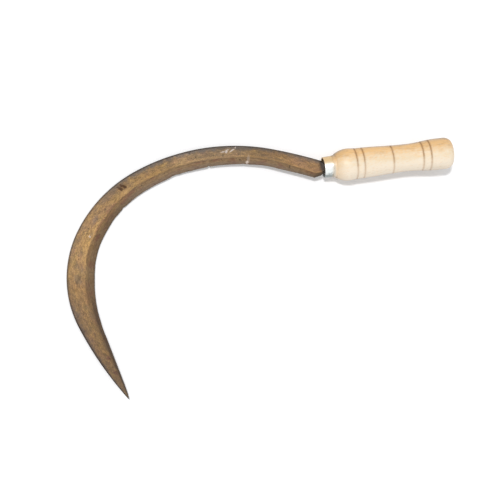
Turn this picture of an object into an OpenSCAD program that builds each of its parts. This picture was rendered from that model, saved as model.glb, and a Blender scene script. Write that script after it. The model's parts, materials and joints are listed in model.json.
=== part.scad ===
// Hand sickle: a forged crescent blade, a tapered ferrule and a turned wooden handle.
// The blade and its tang are one forging. The tang is driven into a blind socket in the
// handle, and the handle's tenon fills the ferrule, which keeps the wood from splitting.
//
// The pieces are drawn along the handle's axis: X runs from the ferrule's mouth towards
// the butt, Y towards the blade's spine, and Z out of its bevelled face. The tool is then
// laid on the ground as it rests there, on the handle's bulge and the blade's belly.

/* [Spine of the blade] */
// Slope of the spine where it leaves the ferrule, in degrees from the handle's axis
set_angle = 22.5; // [15:0.5:30]
// Radius of the heel's arc, the first of the five that make the spine
heel_r = 545; // [350:5:800]
// Turn of the heel's arc, in degrees
heel_turn = 5.5; // [3:0.5:10]
// Radius of the crown's arc
crown_r = 218; // [180:1:260]
// Turn of the crown's arc, in degrees
crown_turn = 39.7; // [30:0.1:48]
// Radius of the shoulder's arc
shoulder_r = 143; // [120:1:170]
// Turn of the shoulder's arc, in degrees
shoulder_turn = 32.8; // [22:0.1:40]
// Radius of the belly's arc
belly_r = 109.6; // [90:0.2:135]
// Turn of the belly's arc, in degrees
belly_turn = 54.9; // [46:0.1:64]
// Radius of the last arc, which runs out to the point
point_r = 360; // [280:5:600]
// Turn of the last arc, in degrees
point_turn = 14.3; // [8:0.1:19]

/* [Width of the blade] */
// Width of the blade at the heel
heel_w = 19; // [14:0.2:25]
// Width of the blade at the belly, its widest place
belly_w = 29; // [26:0.1:38]
// Turn of the belly's arc at which the blade is widest, in degrees
belly_place = 27.3; // [12:0.1:44]
// How late the blade widens on the way to the belly
belly_growth = 2.5; // [1.5:0.1:4]
// How gently the widening ends at the belly
belly_ease = 1.5; // [1:0.1:2.5]
// How long the blade stays broad past the belly
point_shoulder = 1.55; // [1.1:0.05:2.2]
// How blunt the outline is at the point
point_bluntness = 0.8; // [0.6:0.02:1]
// Width left at the very point
point_w = 0.6; // [0.4:0.1:2]

/* [Section of the blade] */
// Thickness of the spine at the heel
heel_t = 3.6; // [2.4:0.1:5]
// Thickness of the spine at the point
point_t = 1.2; // [0.8:0.1:2]
// Width of the chamfer along the spine
chamfer_w = 1.6; // [0.6:0.1:3]
// Depth of the chamfer along the spine
chamfer_d = 0.9; // [0.3:0.1:1.4]
// Rounding of the corners of the back and the tang
corner_ease = 0.4; // [0.2:0.1:0.8]
// Fall of the face from the spine to the ridge of the bevel
face_fall = 0.4; // [0:0.1:0.8]
// Share of the width that is ground to the cutting bevel
bevel_share = 0.38; // [0.2:0.02:0.5]
// Share of the width that is ground at the heel, where the bevel starts
heel_bevel_share = 0.24; // [0.1:0.02:0.5]
// Distance along the spine at which the bevel has its full share
bevel_full_at = 45; // [10:1:60]
// Distance along the spine at which the bevel starts to narrow towards the point
bevel_narrows_at = 230; // [150:2:330]
// Share of the width that the bevel keeps at the point
point_bevel_share = 0.24; // [0.1:0.02:0.5]
// Thickness of the cutting edge
edge_t = 0.4; // [0.2:0.1:0.7]

/* [Neck and tang] */
// Gap between the blade's neck and the ferrule's mouth
neck_gap = 1.5; // [0.5:0.1:4]
// Height of the neck above the handle's axis
neck_top = 7.3; // [6:0.1:9]
// Depth of the neck below the handle's axis
neck_low = 6.5; // [5:0.1:9]
// How far the neck's lower corner lies behind its upper one
neck_slant = 1.6; // [0:0.1:4]
// Length of the spine between the neck and the heel's corner
heel_setback = 1.8; // [1:0.1:6]
// Thickness of the dull edge between the heel's corner and the neck
neck_edge_t = 2; // [0.8:0.1:2.2]
// Width of the tang at its root
tang_w = 8.4; // [6:0.1:11]
// Thickness of the tang at its root
tang_t = 4.2; // [3:0.1:6]
// Length of the tang behind the ferrule's mouth
tang_len = 86; // [50:1:105]
// Width and thickness of the tang at its end
tang_end = 2.4; // [1.5:0.1:3]

/* [Ferrule] */
// Length of the ferrule
ferrule_len = 9.4; // [7:0.2:18]
// Outer diameter of the ferrule at its mouth
mouth_d = 21.6; // [20:0.1:24]
// Outer diameter of the ferrule against the handle's collar
seat_d = 22.4; // [21:0.1:25]
// Thickness of the ferrule's wall
ferrule_wall = 1.2; // [0.8:0.1:2]
// Width of the filed edge at the ferrule's mouth
lip = 0.3; // [0.1:0.1:0.5]

/* [Handle] */
// Length of the plain collar between the ferrule and the front face
collar_len = 2.6; // [1:0.2:5]
// Step up from the ferrule to the collar
collar_step = 0.2; // [0.1:0.1:0.6]
// Growth of the collar's radius towards the front face
collar_flare = 0.4; // [0.1:0.1:0.8]
// Step up from the collar to the edge of the front face
front_step = 0.6; // [0.1:0.1:1.5]
// Length of the wood behind the front face
grip_len = 128; // [115:1:170]
// Diameter of the bulge at the front
bulge_d = 34.2; // [31:0.2:40]
// Distance from the front face to the bulge
bulge_at = 15; // [12:0.5:18]
// Diameter just behind the first groove
body_d = 32.8; // [29:0.2:38]
// Distance from the front face to where the body starts
body_at = 24.5; // [22:0.5:30]
// Diameter of the waist
waist_d = 29.2; // [24:0.2:34]
// Distance from the front face to the waist
waist_at = 79; // [58:1:86]
// Diameter of the swell near the butt
swell_d = 33.6; // [28:0.2:40]
// Distance from the butt's end to the swell
swell_back = 15; // [10:0.5:20]
// Length of the rounding at the butt
butt_round_len = 8; // [3:0.5:9.5]
// Depth of the rounding at the butt
butt_round_d = 6; // [2:0.5:9]

/* [Burnt grooves] */
// Width of each groove round the handle
groove_w = 1.4; // [0.8:0.1:2.4]
// Depth of each groove
groove_d = 0.6; // [0.3:0.1:1.2]
// Distance from the front face to the middle of the front pair
front_pair_at = 25.8; // [20:0.2:36]
// Distance from the front face to the single groove
single_at = 61.4; // [46:0.2:74]
// Distance from the butt's end to the middle of the rear pair
rear_pair_back = 30; // [22:0.2:36]
// Distance between the grooves of the front pair
front_gap = 7.8; // [4:0.2:12]
// Distance between the grooves of the rear pair
rear_gap = 8.4; // [4:0.2:12]

/* [Fits] */
// Clearance round the tang in its socket, on each side
tang_clearance = 0.1; // [0.05:0.05:0.3]
// Clearance between the tenon and the ferrule, on the radius
tenon_clearance = 0.05; // [0.05:0.05:0.2]
// Depth of the tenon's end inside the ferrule's mouth
tenon_recess = 2; // [1.2:0.1:5]
// Depth of the socket beyond the tang's end
socket_spare = 1; // [0.2:0.1:5]

/* [Rest] */
// Turn of the belly's arc at which the blade touches the ground, in degrees
rest_place = 8; // [0:1:40]

/* [Hidden] */

$fn = 96;
// Longest step between the sections of the blade
section_step = 5;
// Longest steps along the handle's profile, and along its dome and its rounded butt
profile_step = 4;
round_step = 1.2;
// Overlap that makes a cut break cleanly through a face
cut_over = 1;

// The spine, as a chain of arcs that meet in line

arcs = [
    [heel_r, heel_turn],
    [crown_r, crown_turn],
    [shoulder_r, shoulder_turn],
    [belly_r, belly_turn],
    [point_r, point_turn],
];
last_arc = len(arcs) - 1;
belly = last_arc - 1;

function arc_len(k, turn) = arcs[k][0] * turn * PI / 180;
function heading(k) = k == 0 ? 180 - set_angle : heading(k - 1) + arcs[k - 1][1];
function arc_start(k) = k == 0 ? [-neck_gap, neck_top] : arc_point(k - 1, arcs[k - 1][1]);
function arc_point(k, turn) = let (h = heading(k))
    arc_start(k) + arcs[k][0] * [sin(h + turn) - sin(h), cos(h) - cos(h + turn)];
function run_before(k) = k == 0 ? 0 : run_before(k - 1) + arc_len(k - 1, arcs[k - 1][1]);

spine_len = run_before(last_arc) + arc_len(last_arc, point_turn);
belly_run = run_before(belly) + arc_len(belly, belly_place);

// Where along the spine the sections stand: the arc, the turn on it and the distance run

heel_start = heel_setback / heel_r * 180 / PI;
stations = [
    for (k = [0:last_arc])
        let (from = k == 0 ? heel_start : 0, count = ceil(arc_len(k, arcs[k][1]) / section_step))
        for (i = [0:count - 1])
            let (turn = from + (arcs[k][1] - from) * i / count)
            [k, turn, run_before(k) + arc_len(k, turn)],
    [last_arc, point_turn, spine_len],
];

// Width, thickness and share of the bevel at a distance along the spine

function blend(u) = (1 - cos(180 * u)) / 2;
function widening(u) = 1 - pow(1 - pow(u, belly_growth), belly_ease);
function narrowing(u) = pow(1 - pow(u, point_shoulder), point_bluntness);
function width(run) = run < belly_run
    ? heel_w + (belly_w - heel_w) * widening(run / belly_run)
    : point_w + (belly_w - point_w) * narrowing((run - belly_run) / (spine_len - belly_run));
function thickness(run) = heel_t + (point_t - heel_t) * run / spine_len;
function bevel(run) = bevel_share
    + (heel_bevel_share - bevel_share) * blend(1 - min(1, run / bevel_full_at))
    + (point_bevel_share - bevel_share)
        * max(0, run - bevel_narrows_at) / (spine_len - bevel_narrows_at);

// Sections: pairs of a share of the width, from the spine to the edge, and a height

back_z = -heel_t / 2;

function blade_section(w, t, bevel, edge) =
    let (c = min(chamfer_w, w / 4), d = min(chamfer_d, t / 3), e = min(corner_ease, w / 8, t / 4))
    [
        [0, back_z + e],
        [0, back_z + t - d],
        [c / w, back_z + t],
        [1 - bevel, back_z + t - face_fall * min(1, w / heel_w)],
        [1, back_z + edge],
        [1, back_z],
        [1 - e / w, back_z],
        [e / w, back_z],
    ];

function bar_section(w, t) = let (e = corner_ease)
    [
        [0, e - t / 2],
        [0, t / 2 - e],
        [e / w, t / 2],
        [1 - e / w, t / 2],
        [1, t / 2 - e],
        [1, e - t / 2],
        [1 - e / w, -t / 2],
        [e / w, -t / 2],
    ];

function ring(outer, inner, section) = [
    for (p = section) let (q = outer + (inner - outer) * p[0]) [q[0], q[1], p[1]]
];

function station_ring(st) =
    let (
        h = heading(st[0]) + st[1],
        w = width(st[2]),
        outer = arc_point(st[0], st[1]),
        inner = outer + w * [-sin(h), cos(h)]
    )
    ring(outer, inner, blade_section(w, thickness(st[2]), bevel(st[2]), edge_t));

tang_root = tenon_recess / 2;
neck_outer = [-neck_gap, neck_top];
neck_inner = [-neck_gap - neck_slant, -neck_low];

blade_rings = [
    ring([tang_len, tang_end / 2], [tang_len, -tang_end / 2], bar_section(tang_end, tang_end)),
    ring([tang_root, tang_w / 2], [tang_root, -tang_w / 2], bar_section(tang_w, tang_t)),
    ring(neck_outer, neck_inner,
         blade_section(norm(neck_outer - neck_inner), heel_t, heel_bevel_share, neck_edge_t)),
    for (st = stations) station_ring(st),
];
blade_points = [for (r = blade_rings) each r];

// Faces of a skin over rings of equal size, closed by a fan at either end

function skin_faces(rings, size) = [
    for (j = [1:size - 2]) [0, j + 1, j],
    for (i = [0:rings - 2]) for (j = [0:size - 1])
        let (a = i * size + j, b = i * size + (j + 1) % size)
        each [[a, b, b + size], [a, b + size, a + size]],
    for (j = [1:size - 2]) let (last = (rings - 1) * size) [last, last + j, last + j + 1],
];

// The ferrule and the handle, as half-profiles of distance from the mouth and radius

function ferrule_r(x) = (mouth_d + (seat_d - mouth_d) * x / ferrule_len) / 2;
function bore_r(x) = ferrule_r(x) - ferrule_wall;
function tenon_r(x) = bore_r(x) - tenon_clearance;

front_x = ferrule_len + collar_len;
butt_x = front_x + grip_len;
bulge_x = front_x + bulge_at;
body_x = front_x + body_at;
waist_x = front_x + waist_at;
swell_x = butt_x - swell_back;
round_x = butt_x - butt_round_len;

collar_r = seat_d / 2 + collar_step;
collar_end_r = collar_r + collar_flare;

// The dome is one arc, level at the bulge
dome_rise = bulge_d / 2 - collar_end_r - front_step;
dome_r = (pow(bulge_at, 2) + pow(dome_rise, 2)) / (2 * dome_rise);
dome_turn = asin(bulge_at / dome_r);
dome_steps = ceil(bulge_at / round_step);
butt_steps = ceil(butt_round_len / round_step);

function blend_line(x0, r0, x1, r1) = let (steps = ceil((x1 - x0) / profile_step)) [
    for (i = [1:steps]) let (u = i / steps) [x0 + (x1 - x0) * u, r0 + (r1 - r0) * blend(u)]
];

wood_profile = [
    for (i = [dome_steps:-1:0]) let (a = dome_turn * i / dome_steps)
        [bulge_x - dome_r * sin(a), bulge_d / 2 - dome_r * (1 - cos(a))],
    each blend_line(bulge_x, bulge_d / 2, body_x, body_d / 2),
    each blend_line(body_x, body_d / 2, waist_x, waist_d / 2),
    each blend_line(waist_x, waist_d / 2, swell_x, swell_d / 2),
    for (i = [0:butt_steps]) let (a = 90 * i / butt_steps)
        [round_x + butt_round_len * sin(a), swell_d / 2 - butt_round_d * (1 - cos(a))],
];
function wood_r(x) = lookup(x, wood_profile);

grooves = [
    front_pair_at - front_gap / 2,
    front_pair_at + front_gap / 2,
    single_at,
    grip_len - rear_pair_back - rear_gap / 2,
    grip_len - rear_pair_back + rear_gap / 2,
];

// How the tool lies: a plane through the belly's tangent that just touches the bulge

rest_heading = heading(belly) + rest_place;
rest_point = arc_point(belly, rest_place);
rest_inward = [-sin(rest_heading), cos(rest_heading)];
rest_span = ([bulge_x, 0] - rest_point) * rest_inward;
rest_slope = (bulge_d / 2 + back_z) / rest_span;
lean = atan(rest_slope * rest_inward[1]);
tilt = -atan(rest_slope * rest_inward[0] * cos(lean));

function laid(p) =
    let (y = p[1] * cos(lean) - p[2] * sin(lean), z = p[1] * sin(lean) + p[2] * cos(lean))
    [p[0] * cos(tilt) + z * sin(tilt), y, z * cos(tilt) - p[0] * sin(tilt)];

// The box round the tool as it lies, whose bottom's middle becomes the origin

blade_laid = [for (p = blade_points) laid(p)];
low = [
    min([for (p = blade_laid) p[0]]),
    min([for (p = blade_laid) p[1]]),
    min(
        min([for (p = blade_laid) p[2]]),
        min([for (p = wood_profile) -p[0] * sin(tilt) - p[1] * cos(tilt)])
    ),
];
high = [
    max([for (p = wood_profile) p[0] * cos(tilt) + p[1] * abs(sin(tilt))]),
    max([for (p = blade_laid) p[1]]),
];

module lay_down() {
    translate([-(low[0] + high[0]) / 2, -(low[1] + high[1]) / 2, -low[2]])
        rotate([lean, tilt, 0])
            children();
}

module turned(profile) {
    rotate([0, 90, 0])
        rotate_extrude()
            polygon([for (p = profile) [p[1], p[0]]]);
}

module blade() {
    color([0.56, 0.45, 0.32])
        lay_down()
            polyhedron(blade_points, skin_faces(len(blade_rings), len(blade_rings[0])));
}

module ferrule() {
    color([0.78, 0.8, 0.8])
        lay_down()
            turned([
                [0, bore_r(0)],
                [0, ferrule_r(0) - lip],
                [lip, ferrule_r(lip)],
                [ferrule_len, ferrule_r(ferrule_len)],
                [ferrule_len, bore_r(ferrule_len)],
            ]);
}

module tang_socket() {
    mouth_x = tenon_recess - cut_over;
    end_x = tang_len + socket_spare;
    end = tang_end / 2 + tang_clearance;
    growth = (tang_len - mouth_x) / (tang_len - tang_root);
    wide = end + (tang_w - tang_end) / 2 * growth;
    thick = end + (tang_t - tang_end) / 2 * growth;
    corners = [[1, -1], [1, 1], [-1, 1], [-1, -1]];
    polyhedron(
        [
            for (c = corners) [end_x, c[0] * end, c[1] * end],
            for (c = corners) [mouth_x, c[0] * wide, c[1] * thick],
        ],
        skin_faces(2, len(corners))
    );
}

module groove_cut(at) {
    x = front_x + at;
    turned([
        [x, wood_r(x) - groove_d],
        [x - groove_w, wood_r(x) + groove_d],
        [x + groove_w, wood_r(x) + groove_d],
    ]);
}

module handle() {
    color([0.93, 0.82, 0.64])
        lay_down()
            difference() {
                turned([
                    [tenon_recess, 0],
                    [tenon_recess, tenon_r(tenon_recess)],
                    [ferrule_len, tenon_r(ferrule_len)],
                    [ferrule_len, collar_r],
                    [front_x, collar_end_r],
                    each wood_profile,
                    [butt_x, 0],
                ]);
                tang_socket();
                for (at = grooves) groove_cut(at);
            }
}

blade();
ferrule();
handle();
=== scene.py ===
"""Looks of the hand sickle: a forged blade, a steel ferrule and a turned handle on a white studio floor.

Lengths are in metres. The pieces are worked out along the handle's axis: X runs from the ferrule's mouth
towards the butt, Y towards the blade's spine and Z out of its bevelled face. They are then laid on the
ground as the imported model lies.
"""

import json
from functools import reduce
from math import atan, cos, inf, pi, radians, sin
from types import SimpleNamespace

import bpy
import numpy as np
from bpy.props import FloatProperty, FloatVectorProperty, PointerProperty
from bpy.types import Operator, Panel, PropertyGroup
from mathutils import Matrix, Vector


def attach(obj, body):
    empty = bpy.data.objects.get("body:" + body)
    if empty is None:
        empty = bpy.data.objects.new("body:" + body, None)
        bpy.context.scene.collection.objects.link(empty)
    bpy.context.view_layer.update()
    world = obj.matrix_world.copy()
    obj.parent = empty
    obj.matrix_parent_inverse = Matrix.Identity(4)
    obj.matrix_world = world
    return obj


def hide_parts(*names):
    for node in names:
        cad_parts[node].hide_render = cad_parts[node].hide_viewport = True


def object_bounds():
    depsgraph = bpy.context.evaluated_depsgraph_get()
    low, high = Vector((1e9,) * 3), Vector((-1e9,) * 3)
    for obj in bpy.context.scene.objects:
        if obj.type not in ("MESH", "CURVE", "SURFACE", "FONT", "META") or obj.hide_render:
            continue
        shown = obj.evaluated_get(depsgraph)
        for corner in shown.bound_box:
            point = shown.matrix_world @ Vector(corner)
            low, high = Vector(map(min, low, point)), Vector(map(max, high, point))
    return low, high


bl_info = {
    "name": "Hand Sickle",
    "version": (1, 0, 0),
    "blender": (4, 5, 0),
    "location": "3D View > Sidebar > Sickle",
    "description": "Forges the blade, rolls the ferrule, turns the handle and sets the studio",
    "category": "Add Mesh",
}

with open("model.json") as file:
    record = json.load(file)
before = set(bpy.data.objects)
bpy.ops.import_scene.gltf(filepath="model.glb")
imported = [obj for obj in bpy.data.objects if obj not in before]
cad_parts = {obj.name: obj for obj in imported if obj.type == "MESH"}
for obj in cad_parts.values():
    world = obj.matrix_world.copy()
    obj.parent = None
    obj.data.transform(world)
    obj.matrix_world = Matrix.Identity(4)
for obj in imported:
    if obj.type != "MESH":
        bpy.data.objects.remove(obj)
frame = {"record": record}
cad_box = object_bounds()
mounts = {mount["name"]: mount for mount in frame["record"]["mounts"]}

BODY = "root"


# Settings


def rgb(red, green, blue):
    """A colour seen as these 0 to 255 values on a screen, as the linear values that shaders take."""
    seen = np.array((red, green, blue)) / 255
    linear = np.where(seen <= 0.04045, seen / 12.92, ((seen + 0.055) / 1.055) ** 2.4)
    return tuple(float(part) for part in linear)


def number(name, description, default, **kind):
    """A property that holds one number."""
    return FloatProperty(name=name, description=description, default=default, **kind)


def numbers(name, description, default, **kind):
    """A property that holds several numbers."""
    size = len(default)
    return FloatVectorProperty(name=name, description=description, default=default, size=size, **kind)


def length(name, description, default):
    """A property that holds a length in metres."""
    return number(name, description, default, min=0.0, unit="LENGTH", precision=5)


def lengths(name, description, *default):
    """A property that holds several lengths in metres."""
    return numbers(name, description, default, unit="LENGTH", precision=5)


def angle(name, description, degrees):
    """A property that holds an angle."""
    return number(name, description, radians(degrees), subtype="ANGLE")


def share(name, description, default):
    """A property that holds a share from 0 to 1."""
    return number(name, description, default, min=0.0, max=1.0, subtype="FACTOR")


def colour(name, description, default):
    """A property that holds a linear colour."""
    return numbers(name, description, default, min=0.0, max=1.0, subtype="COLOR")


class SickleBlade(PropertyGroup):
    """Sizes and colours of the forged blade."""

    set_angle: angle("Set angle", "Slope of the spine where it leaves the ferrule", 22.5)
    radii: lengths(
        "Radii of the spine",
        "Radii of the arcs of the heel, crown, shoulder, belly and point",
        0.545, 0.218, 0.143, 0.1096, 0.36,
    )
    turns: numbers(
        "Turns of the spine",
        "Turns of the arcs of the heel, crown, shoulder, belly and point",
        tuple(radians(turn) for turn in (5.5, 39.7, 32.8, 54.9, 14.3)),
        unit="ROTATION",
    )
    heel_width: length("Heel width", "Width of the blade at the heel", 0.019)
    belly_width: length("Belly width", "Width of the blade at its widest place", 0.029)
    belly_turn: angle("Belly place", "Turn of the belly's arc at which the blade is widest", 27.3)
    belly_growth: number("Growth", "How late the blade widens on the way to the belly", 2.5)
    belly_ease: number("Ease", "How gently the widening ends at the belly", 1.5)
    point_shoulder: number("Point shoulder", "How long the blade stays broad past the belly", 1.55)
    point_bluntness: number("Point bluntness", "How blunt the outline is at the point", 0.8)
    point_width: length("Point width", "Width left at the very point", 0.0006)
    heel_thick: length("Heel thickness", "Thickness of the spine at the heel", 0.0036)
    point_thick: length("Point thickness", "Thickness of the spine at the point", 0.0012)
    chamfer_width: length("Chamfer width", "Width of the chamfer along the spine", 0.0016)
    chamfer_depth: length("Chamfer depth", "Depth of the chamfer along the spine", 0.0009)
    ease: length("Eased corners", "Rounding of the corners of the back and the tang", 0.0004)
    face_fall: length("Face fall", "Fall of the face from the spine to the ridge", 0.0004)
    heel_bevel: share("Bevel at the heel", "Share of the width that is ground at the heel", 0.24)
    bevel: share("Bevel", "Share of the width that is ground to the cutting bevel", 0.38)
    point_bevel: share("Bevel at the point", "Share of the width that the bevel keeps at the point", 0.24)
    bevel_full: length("Full bevel", "Distance along the spine where the bevel has its full share", 0.045)
    bevel_narrows: length("Narrowing", "Distance along the spine where the bevel starts to narrow", 0.230)
    edge_thick: length("Edge thickness", "Thickness of the cutting edge", 0.0004)
    neck: lengths(
        "Neck",
        "Gap before the ferrule, height above the axis and depth below it",
        0.0015, 0.0073, 0.0082,
    )
    neck_slant: length("Neck slant", "How far the neck's lower corner lies behind its upper one", 0.0016)
    neck_edge: length("Neck edge", "Thickness of the dull edge at the neck", 0.002)
    heel_setback: length("Heel setback", "Length of the spine between the neck and the heel", 0.0018)
    tang_root: lengths("Tang root", "Place, width and thickness of the tang's root", 0.001, 0.0084, 0.0042)
    tang_end: lengths("Tang end", "Place and width of the tang's end", 0.086, 0.0024)
    rest_turn: angle("Rest place", "Turn of the belly's arc at which the blade touches the ground", 8)
    dent: length("Hammer marks", "Depth of the hammer marks on the face", 0.00016)
    nick: length("Nicks", "Depth of the wear along the cutting edge", 0.00042)
    gold: colour("Gold patina", "Colour of the lightest patina", rgb(181, 142, 88))
    brown: colour("Brown patina", "Colour of the darker patina", rgb(107, 81, 52))
    rose: colour("Rose patina", "Colour of the reddish bloom", rgb(146, 108, 88))
    grey: colour("Grey scale", "Colour of the forge scale along the spine", rgb(104, 91, 80))
    olive: colour("Olive", "Greenish brown in the patina", rgb(132, 118, 72))
    umber: colour("Umber", "Colour of the blister of burnt scale", rgb(74, 44, 5))
    # Also the colour of painted shade: the band past the ridge and the neck at the ferrule's mouth
    dark_scale_and_shade: colour("Dark scale", "Colour of the dark lines at the spine and the edge", rgb(58, 48, 38))
    ground: colour("Bevel", "Colour of the ground bevel", rgb(146, 121, 90))
    rust: colour("Rust", "Colour of the rust on the bevel", rgb(116, 78, 62))
    scratch: colour("Scratch", "Colour of the bare scratches", rgb(232, 218, 208))


class SickleFerrule(PropertyGroup):
    """Sizes and colours of the ferrule."""

    length: length("Length", "Length of the ferrule", 0.0094)
    mouth: length("Mouth", "Diameter at the mouth", 0.0216)
    seat: length("Seat", "Diameter against the handle's collar", 0.0224)
    wall: length("Wall", "Thickness of the wall", 0.0012)
    lip: length("Lip", "Rounding of the mouth", 0.0003)
    zinc: colour("Zinc", "Colour of the plating", rgb(244, 248, 246))
    # Painted reflection: the warm tint of the upper side, also the tint of the painted shade before the
    # collar
    reflected_tan: colour("Tarnish", "Colour of the warm tarnish on the upper side", rgb(226, 196, 150))
    # Painted reflection: the dim grey low on the lower side, where the shadowed floor would show
    dull: colour("Dull zinc", "Colour of the dull plating on the lower side", rgb(146, 154, 152))


class SickleHandle(PropertyGroup):
    """Sizes and colours of the turned handle."""

    length: length("Length", "Length of the wood behind the front face", 0.128)
    collar: length("Collar", "Length of the plain collar between the ferrule and the front face", 0.0026)
    collar_step: length("Collar step", "Step up from the ferrule to the collar", 0.0002)
    collar_flare: length("Collar flare", "Growth of the collar's radius towards the front face", 0.0004)
    front_step: length("Front step", "Step up from the collar to the edge of the front face", 0.0006)
    front_wear: length("Front wear", "How far the front face's edge is worn back behind its plane", 0.001)
    bulge: length("Bulge", "Diameter of the bulge", 0.0342)
    bulge_at: length("Bulge place", "Distance from the front face to the bulge", 0.015)
    body: length("Body", "Diameter just behind the first groove", 0.0328)
    body_at: length("Body place", "Distance from the front face to where the body starts", 0.0245)
    waist: length("Waist", "Diameter of the waist", 0.0292)
    waist_at: length("Waist place", "Distance from the front face to the waist", 0.079)
    swell: length("Swell", "Diameter of the swell near the butt", 0.0336)
    swell_back: length("Swell place", "Distance from the butt's end to the swell", 0.015)
    round_length: length("Butt rounding length", "Length of the rounding at the butt", 0.008)
    round_depth: length("Butt rounding depth", "Depth of the rounding at the butt", 0.006)
    tenon_recess: length("Tenon recess", "Depth of the tenon's end inside the ferrule's mouth", 0.002)
    tenon_clearance: length("Tenon clearance", "Clearance between the tenon and the ferrule", 0.00005)
    grooves: lengths(
        "Grooves",
        "Distances from the front face to the burnt grooves",
        0.0219, 0.0297, 0.0614, 0.0938, 0.1022,
    )
    groove_width: length("Groove width", "Width of each groove", 0.0014)
    groove_depth: length("Groove depth", "Depth of each groove", 0.0006)
    pale: colour("Pale wood", "Colour of the early wood", rgb(246, 232, 208))
    warm: colour("Warm wood", "Colour of the late wood", rgb(238, 211, 170))
    tan: colour("Tan side", "Colour of the wood on its darker side", rgb(237, 189, 124))
    # Painted light: the paler colour of the side towards the cutting edge
    lit_side: colour("Bleached side", "Colour of the wood on its lighter side", rgb(255, 241, 221))
    # Painted shade: the grey where the wood turns away low on its sides
    side_shade: colour("Grime", "Colour of the handled wood low on its sides", rgb(186, 170, 152))
    burnt: colour("Burnt wood", "Colour of the burnt grooves", rgb(158, 116, 72))
    # Partly burnt in by the tang, partly painted shade in the ferrule's mouth
    charred_and_shaded: colour("Charred wood", "Colour of the charred tenon", rgb(58, 44, 32))
    # Painted shade: the grey of the collar's lower side beside the ferrule
    collar_shade: colour("Zinc smear", "Colour of the zinc rubbed onto the collar", rgb(208, 210, 204))


class SickleStudio(PropertyGroup):
    """The camera, the lamps and the floor."""

    lens: number("Lens", "Focal length", 108.0, unit="CAMERA")
    distance: length("Distance", "Distance of the camera from the blade's plane", 1.575)
    lean: angle("Lean", "Lean of the camera towards the blade", 9)
    roll: angle("Roll", "Turn of the picture", 7.1)
    mouth_px: numbers(
        "Mouth in the picture",
        "Pixel of the 500 by 500 picture on which the ferrule's mouth is centred",
        (323.1, 167.45),
    )
    key_height: angle("Key height", "Height of the key lamp above the floor", 70)
    key_heading: angle("Key heading", "Way shadows fall, from the handle's axis to the cutting edge", 46)
    key_strength: number("Key strength", "Strength of the key lamp", 1.56)
    key_angle: angle("Key softness", "Angle that the key lamp fills", 6)
    sky: number("Sky", "Strength of the light from all round", 0.56)
    floor_lift: share("Floor lift", "Light added to the floor for the camera, so that it is white", 0.115)
    floor: colour("Floor", "Colour of the floor", (0.98, 0.98, 0.99))
    floor_size: length("Floor size", "Width of the floor", 24.0)


# Noise and steps

# Cells after which the noise repeats
NOISE_CELLS = 256


def noise(x, y, seed):
    """Smooth noise from -1 to 1: a random value at each whole pair of numbers, blended by a smooth step."""
    table = np.random.default_rng(seed).uniform(-1, 1, (NOISE_CELLS, NOISE_CELLS))
    column, row = np.floor(x).astype(int), np.floor(y).astype(int)
    u, v = x - column, y - row
    u, v = u * u * (3 - 2 * u), v * v * (3 - 2 * v)
    corners = [table[(column + i) % NOISE_CELLS, (row + j) % NOISE_CELLS] for i in (0, 1) for j in (0, 1)]
    low = corners[0] * (1 - v) + corners[1] * v
    high = corners[2] * (1 - v) + corners[3] * v
    return low * (1 - u) + high * u


def lift(x, y, seed):
    """Noise moved to 0 to 1."""
    return 0.5 + 0.5 * noise(x, y, seed)


def blend(value, low, high):
    """A half cosine from 0 to 1 between two places."""
    return (1 - np.cos(pi * np.clip((value - low) / (high - low), 0, 1))) / 2


def faded(run, end, rise, fall):
    """A factor that grows evenly from 0 over a first length, and sinks to 0 over a last one."""
    return np.clip(run / rise, 0, 1) * np.clip((end - run) / fall, 0, 1)


# The outline that the solid model shares

# Place of the belly's arc among the spine's arcs
BELLY = 3


def arc_chain(blade):
    """The spine's arcs, each in line with the last: runs, headings and starts up to the end, and radii."""
    radii, turns = np.array(blade.radii), np.array(blade.turns)
    headings = pi - blade.set_angle + np.concatenate([[0], np.cumsum(turns)])
    runs = np.concatenate([[0], np.cumsum(radii * turns)])
    sines, cosines = np.sin(headings), np.cos(headings)
    step = np.stack([sines[1:] - sines[:-1], cosines[:-1] - cosines[1:]], 1)
    first = np.array([-blade.neck[0], blade.neck[1]])
    starts = first + np.concatenate([[[0, 0]], np.cumsum(radii[:, None] * step, 0)])
    return runs, headings, starts, radii


def spine(blade, run):
    """Points and headings of the spine at distances along it.

    A point is its arc's start plus the radius times the change of the heading's sine and cosine.
    """
    runs, headings, starts, radii = arc_chain(blade)
    arc = np.clip(np.searchsorted(runs, run, side="right") - 1, 0, len(radii) - 1)
    before, radius = headings[arc], radii[arc]
    heading = before + (run - runs[arc]) / radius
    step = np.stack([np.sin(heading) - np.sin(before), np.cos(before) - np.cos(heading)], 1)
    return starts[arc] + radius[:, None] * step, heading


def blade_width(blade, run):
    """Width along the spine: a late, eased growth up to the belly, then a power curve to the point."""
    runs, _, _, radii = arc_chain(blade)
    belly, end = runs[BELLY] + radii[BELLY] * blade.belly_turn, runs[-1]
    up = 1 - (1 - np.clip(run / belly, 0, 1) ** blade.belly_growth) ** blade.belly_ease
    past = np.clip((run - belly) / (end - belly), 0, 1) ** blade.point_shoulder
    left = (1 - past) ** blade.point_bluntness
    growing = blade.heel_width + (blade.belly_width - blade.heel_width) * up
    closing = blade.point_width + (blade.belly_width - blade.point_width) * left
    return np.where(run < belly, growing, closing)


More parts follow.
